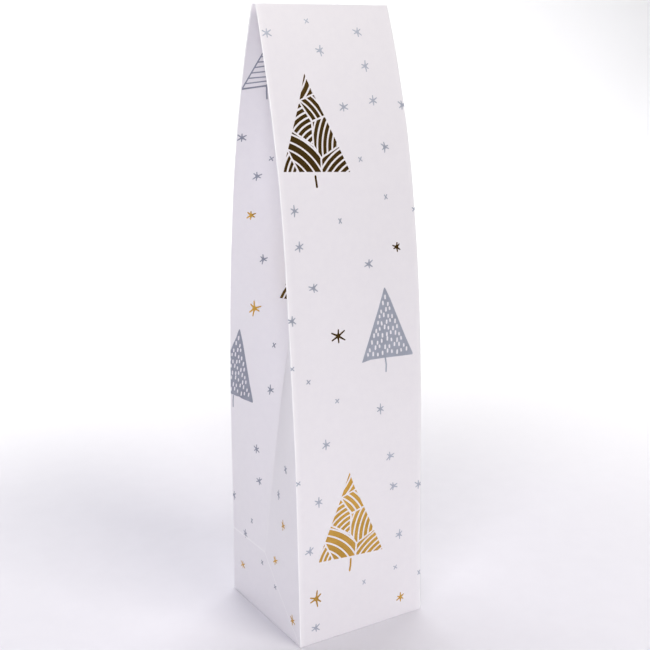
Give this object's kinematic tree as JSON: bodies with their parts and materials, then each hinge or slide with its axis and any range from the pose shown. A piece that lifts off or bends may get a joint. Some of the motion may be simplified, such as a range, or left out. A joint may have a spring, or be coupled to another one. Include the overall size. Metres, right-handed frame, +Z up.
{
  "type": "wine gift bag",
  "caption": "Tall white printed paper bottle bag with folded side gussets, a square base and a mouth that pinches shut and opens out square.",
  "frame": {"origin": "centre of the base, on the surface it stands on", "axes": "+Z up to the mouth, -Y out of the front panel, +X to the right of the front panel"},
  "size_m": [0.085, 0.085, 0.356],
  "materials": {
    "paper": "satin",
    "board": "matte"
  },
  "bodies": {
    "base": {"base_card": "board", "bottom_flap_front": "paper", "bottom_flap_back": "paper", "bottom_flap_left": "paper", "bottom_flap_right": "paper", "gusset_left_base": "paper", "gusset_right_base": "paper", "back_panel_base": "paper", "seam_tab_base": "paper"},
    "front_lower": {"front_panel_lower": "paper"},
    "front_upper": {"front_panel_upper": "paper"},
    "back_lower": {"back_panel_lower": "paper", "seam_tab_lower": "paper"},
    "back_upper": {"back_panel_upper": "paper", "seam_tab_upper": "paper"},
    "gusset_left_front_lower": {"gusset_left_front_lower": "paper"},
    "gusset_left_front_upper": {"gusset_left_front_upper": "paper"},
    "gusset_left_back_lower": {"gusset_left_back_lower": "paper"},
    "gusset_left_back_upper": {"gusset_left_back_upper": "paper"},
    "gusset_right_front_lower": {"gusset_right_front_lower": "paper"},
    "gusset_right_front_upper": {"gusset_right_front_upper": "paper"},
    "gusset_right_back_lower": {"gusset_right_back_lower": "paper"},
    "gusset_right_back_upper": {"gusset_right_back_upper": "paper"}
  },
  "joints": [
    {"name": "front_base_fold", "type": "hinge", "parent": "base", "child": "front_lower", "pos_m": [0, -0.0425, 0.0003], "axis": [1, 0, 0], "range_deg": [0, 2]},
    {"name": "front_flex", "type": "hinge", "parent": "front_lower", "child": "front_upper", "pos_m": [0, -0.0346, 0.2], "axis": [1, 0, 0], "range_deg": [0, 10]},
    {"name": "back_step_fold", "type": "hinge", "parent": "base", "child": "back_lower", "pos_m": [0, 0.0414, 0.0425], "axis": [-1, 0, 0], "range_deg": [0, 2.5]},
    {"name": "back_flex", "type": "hinge", "parent": "back_lower", "child": "back_upper", "pos_m": [0, 0.0346, 0.2], "axis": [-1, 0, 0], "range_deg": [0, 9.5]},
    {"name": "gusset_left_front_fold_lower", "type": "hinge", "parent": "base", "child": "gusset_left_front_lower", "pos_m": [-0.0342, -0.0379, 0.1], "axis": [0.0352, -0.0126, 0.9993], "range_deg": [0, 32.7], "deforming": ["gusset_left_front_lower"]},
    {"name": "gusset_left_front_fold_upper", "type": "hinge", "parent": "gusset_left_front_lower", "child": "gusset_left_front_upper", "pos_m": [-0.0178, -0.028, 0.27], "axis": [0.0777, 0.1356, 0.9877], "range_deg": [0, 54.7], "deforming": ["gusset_left_front_upper"]},
    {"name": "gusset_left_back_fold_lower", "type": "hinge", "parent": "base", "child": "gusset_left_back_lower", "pos_m": [-0.0342, 0.0379, 0.1], "axis": [-0.0352, -0.0126, -0.9993], "range_deg": [0, 32.7], "deforming": ["gusset_left_back_lower"]},
    {"name": "gusset_left_back_fold_upper", "type": "hinge", "parent": "gusset_left_back_lower", "child": "gusset_left_back_upper", "pos_m": [-0.0178, 0.028, 0.27], "axis": [-0.0777, 0.1356, -0.9877], "range_deg": [0, 54.7], "deforming": ["gusset_left_back_upper"]},
    {"name": "gusset_right_front_fold_lower", "type": "hinge", "parent": "base", "child": "gusset_right_front_lower", "pos_m": [0.0342, -0.0379, 0.1], "axis": [0.0352, 0.0126, -0.9993], "range_deg": [0, 32.7], "deforming": ["gusset_right_front_lower"]},
    {"name": "gusset_right_front_fold_upper", "type": "hinge", "parent": "gusset_right_front_lower", "child": "gusset_right_front_upper", "pos_m": [0.0178, -0.028, 0.27], "axis": [0.0777, -0.1356, -0.9877], "range_deg": [0, 54.7], "deforming": ["gusset_right_front_upper"]},
    {"name": "gusset_right_back_fold_lower", "type": "hinge", "parent": "base", "child": "gusset_right_back_lower", "pos_m": [0.0342, 0.0379, 0.1], "axis": [-0.0352, 0.0126, 0.9993], "range_deg": [0, 32.7], "deforming": ["gusset_right_back_lower"]},
    {"name": "gusset_right_back_fold_upper", "type": "hinge", "parent": "gusset_right_back_lower", "child": "gusset_right_back_upper", "pos_m": [0.0178, 0.028, 0.27], "axis": [-0.0777, -0.1356, 0.9877], "range_deg": [0, 54.7], "deforming": ["gusset_right_back_upper"]}
  ],
  "couplings": [
    {"joint": "front_base_fold", "follows": "front_flex", "ratio": 0.2},
    {"joint": "back_step_fold", "follows": "front_flex", "ratio": 0.25},
    {"joint": "back_flex", "follows": "front_flex", "ratio": 0.95},
    {"joint": "gusset_left_front_fold_lower", "follows": "front_flex", "ratio": 3.27},
    {"joint": "gusset_left_front_fold_upper", "follows": "front_flex", "ratio": 5.47},
    {"joint": "gusset_left_back_fold_lower", "follows": "front_flex", "ratio": 3.27},
    {"joint": "gusset_left_back_fold_upper", "follows": "front_flex", "ratio": 5.47},
    {"joint": "gusset_right_front_fold_lower", "follows": "front_flex", "ratio": 3.27},
    {"joint": "gusset_right_front_fold_upper", "follows": "front_flex", "ratio": 5.47},
    {"joint": "gusset_right_back_fold_lower", "follows": "front_flex", "ratio": 3.27},
    {"joint": "gusset_right_back_fold_upper", "follows": "front_flex", "ratio": 5.47}
  ]
}
